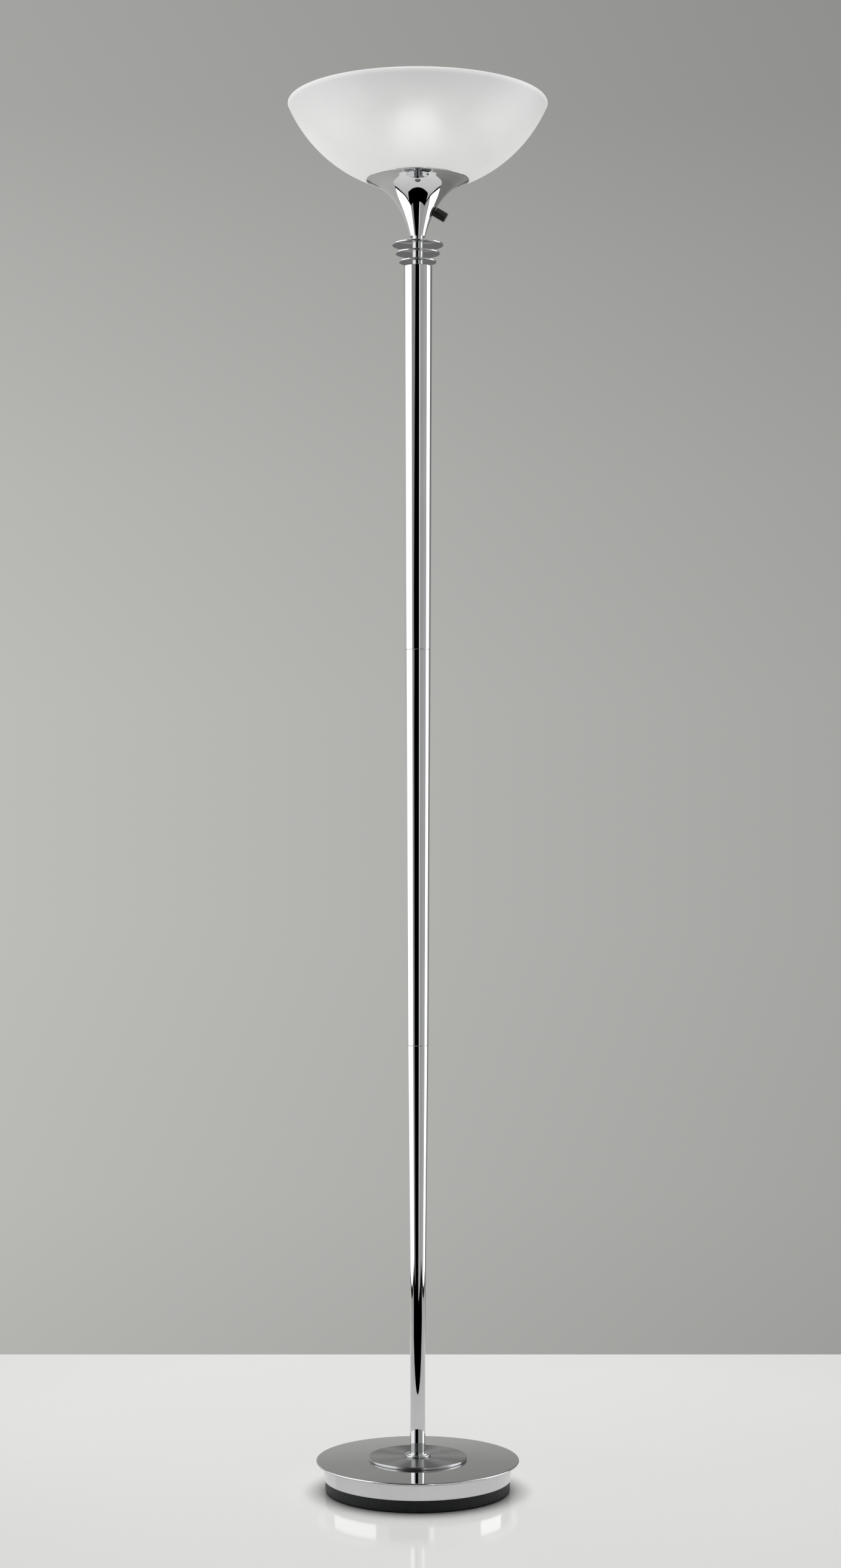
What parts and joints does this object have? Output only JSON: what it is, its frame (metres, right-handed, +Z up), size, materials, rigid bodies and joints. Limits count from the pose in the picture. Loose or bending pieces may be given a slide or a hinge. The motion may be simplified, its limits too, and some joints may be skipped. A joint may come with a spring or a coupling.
{
  "type": "torchiere floor lamp",
  "caption": "Torchiere floor lamp: frosted glass bowl on a trumpet neck with thin fins, tapered chrome pole, weighted round base, rotary switch knob.",
  "frame": {"origin": "middle of the base's underside, on the floor", "axes": "+Z up along the pole; +X towards the switch knob; +Y towards the back, where the mains inlet is"},
  "size_m": [0.3425, 0.3426, 1.829],
  "materials": {
    "chrome": "mirror-polished chrome plate",
    "turned_chrome": "turned concentric finish, plated",
    "black_moulding": "fine matt texture",
    "casting": "rough cast, primed",
    "zinc_steel": "bright zinc plate",
    "opal_glass": "frosted opal",
    "bulb_glass": "inside-frosted",
    "brass": "bright drawn",
    "phenolic": "moulded phenolic",
    "bulb_cap_metal": "rolled, satin",
    "black_glass": "fused black glass",
    "soft_seal": "silicone, matt",
    "fibre": "vulcanised fibre",
    "lead_insulation": "extruded insulation",
    "crimp_cap": "natural nylon",
    "black_rubber": "moulded rubber",
    "solder": "dull solder"
  },
  "bodies": {
    "lamp": {"foot_pan": "black_moulding", "pan_screws": "zinc_steel", "base_weight": "casting", "base_drum": "chrome", "base_top_plate": "chrome", "centre_disc": "turned_chrome", "pole_collar": "chrome", "cord_grommet": "black_rubber", "base_pipe": "zinc_steel", "base_washer": "zinc_steel", "base_nut": "zinc_steel", "pole_lower": "chrome", "pole_middle": "chrome", "pole_upper": "chrome", "pole_foot_insert": "zinc_steel", "lower_joint_socket": "zinc_steel", "lower_joint_plug": "zinc_steel", "lower_joint_pipe": "zinc_steel", "upper_joint_socket": "zinc_steel", "upper_joint_plug": "zinc_steel", "upper_joint_pipe": "zinc_steel", "pole_top_insert": "zinc_steel", "neck_pipe": "zinc_steel", "neck_disc_small": "chrome", "neck_disc_medium": "chrome", "neck_disc_large": "chrome", "neck_spacer_1": "chrome", "neck_spacer_2": "chrome", "neck_spacer_3": "chrome", "neck_spacer_4": "chrome", "funnel": "chrome", "funnel_nut": "zinc_steel", "holder_bracket": "zinc_steel", "bracket_nut": "zinc_steel", "holder_pipe": "zinc_steel", "holder_pipe_nut": "zinc_steel", "holder_cap": "phenolic", "holder_body": "phenolic", "holder_contact": "brass", "screw_shell": "brass", "glass_gasket": "soft_seal", "glass_bowl": "opal_glass", "ring_washer": "fibre", "shade_ring": "phenolic", "bulb_glass": "bulb_glass", "bulb_cap": "bulb_cap_metal", "bulb_insulator": "black_glass", "bulb_tip": "solder", "switch_housing": "phenolic", "switch_bushing": "brass", "switch_nut": "chrome", "splice_caps": "crimp_cap", "neutral_lead": "lead_insulation", "feed_lead": "lead_insulation", "live_lead": "lead_insulation"},
    "knob": {"knob": "phenolic", "knob_shaft": "zinc_steel", "knob_set_screw": "zinc_steel", "switch_rotor": "phenolic"}
  },
  "joints": [
    {"name": "knob_turn", "type": "hinge", "parent": "lamp", "child": "knob", "pos_m": [0.0224, 0, 1.6858], "axis": [0.866, 0, -0.5], "continuous": true}
  ]
}
